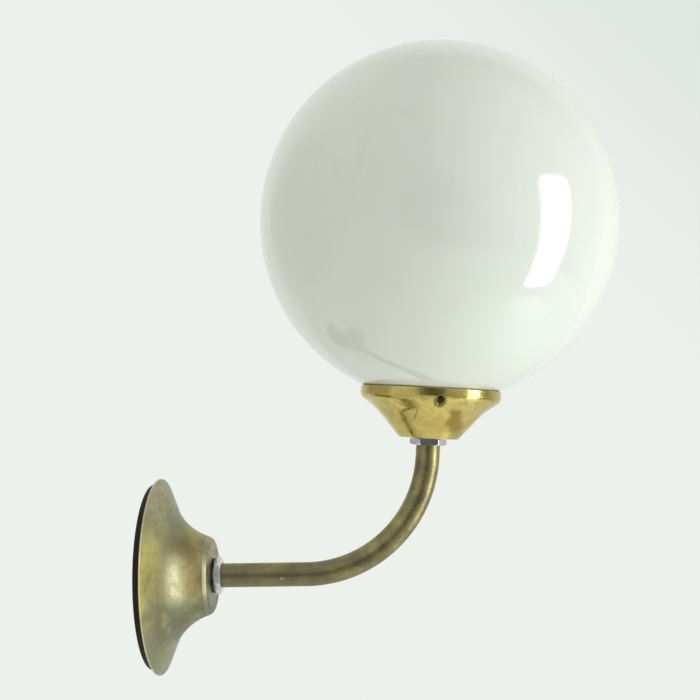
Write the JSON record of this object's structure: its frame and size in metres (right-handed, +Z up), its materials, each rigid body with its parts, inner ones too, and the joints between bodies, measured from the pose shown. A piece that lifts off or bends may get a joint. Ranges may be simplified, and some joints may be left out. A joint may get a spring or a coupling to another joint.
{
  "type": "globe wall sconce",
  "caption": "Wall light with a bell-shaped brass canopy, a bent brass arm and an upright cup that holds an opal glass globe over a candle bulb.",
  "frame": {"origin": "centre of the wall face, midway between the two wall screw holes, in the plane of the wall", "axes": "+Z up along the screw line, +Y into the wall, so the arm leaves the wall along -Y, and X across"},
  "size_m": [0.15, 0.1991, 0.2616],
  "materials": {
    "black_ring": "satin black moulding",
    "aged_brass": "aged satin brass with brown-green patina",
    "arm_brass": "darkened brass with brown-olive patina",
    "cup_brass": "polished yellow brass with small stains",
    "nickel": "bright nickel plate",
    "dark_washer": "dark fibre",
    "zinc_steel": "zinc plated",
    "opal_glass": "glossy opal white",
    "bulb_glass": "satin frosted",
    "clear_glass": "clear",
    "black_glass": "black glass insulator",
    "brass_part": "plain brass",
    "phenolic": "black phenolic",
    "ceramic": "glazed white ceramic",
    "terminal_body": "natural nylon",
    "bulb_metal": "plain",
    "solder": "solder",
    "tungsten": "drawn wire",
    "wire_brown": "brown insulation",
    "wire_blue": "blue insulation",
    "wire_earth": "green and yellow insulation"
  },
  "bodies": {
    "fixture": {"wall_bracket": "zinc_steel", "base_ring": "black_ring", "canopy": "aged_brass", "canopy_washer": "dark_washer", "canopy_nut": "nickel", "bracket_rear_nut": "zinc_steel", "bracket_lock_washer": "zinc_steel", "bracket_front_nut": "zinc_steel", "arm_tube": "arm_brass", "gallery": "cup_brass", "gallery_nut_lower": "nickel", "gallery_lock_washer": "zinc_steel", "gallery_nut_upper": "zinc_steel", "terminal_block": "terminal_body", "terminal_sleeves": "brass_part", "terminal_screws": "zinc_steel", "terminal_fixing_screw": "zinc_steel", "earth_screw": "brass_part", "earth_eyelet": "zinc_steel", "earth_lead": "wire_earth", "wire_live": "wire_brown", "wire_neutral": "wire_blue", "lampholder_cap": "phenolic", "lampholder_core": "ceramic", "lampholder_contact": "brass_part", "lampholder_shell": "brass_part", "lampholder_sleeve": "phenolic"},
    "globe": {"globe": "opal_glass"},
    "bulb": {"bulb_cap": "bulb_metal", "bulb_collar": "black_glass", "bulb_tip_contact": "solder", "bulb_glass": "bulb_glass", "bulb_stem": "clear_glass", "bulb_filament": "tungsten"},
    "set_screw_1": {"set_screw_1": "cup_brass"},
    "set_screw_2": {"set_screw_2": "cup_brass"},
    "set_screw_3": {"set_screw_3": "cup_brass"}
  },
  "joints": [
    {"name": "globe_lift", "type": "slide", "parent": "fixture", "child": "globe", "axis": [0, -0.0767, 0.9971], "range_m": [0, 0.12]},
    {"name": "bulb_unscrew", "type": "slide", "parent": "fixture", "child": "bulb", "axis": [0, -0.0767, 0.9971], "range_m": [0, 0.026]},
    {"name": "set_screw_1_out", "type": "slide", "parent": "fixture", "child": "set_screw_1", "axis": [-0.9848, -0.1731, -0.0133], "range_m": [0, 0.003]},
    {"name": "set_screw_2_out", "type": "slide", "parent": "fixture", "child": "set_screw_2", "axis": [0.6428, -0.7638, -0.0588], "range_m": [0, 0.003]},
    {"name": "set_screw_3_out", "type": "slide", "parent": "fixture", "child": "set_screw_3", "axis": [0.342, 0.9369, 0.0721], "range_m": [0, 0.003]}
  ]
}
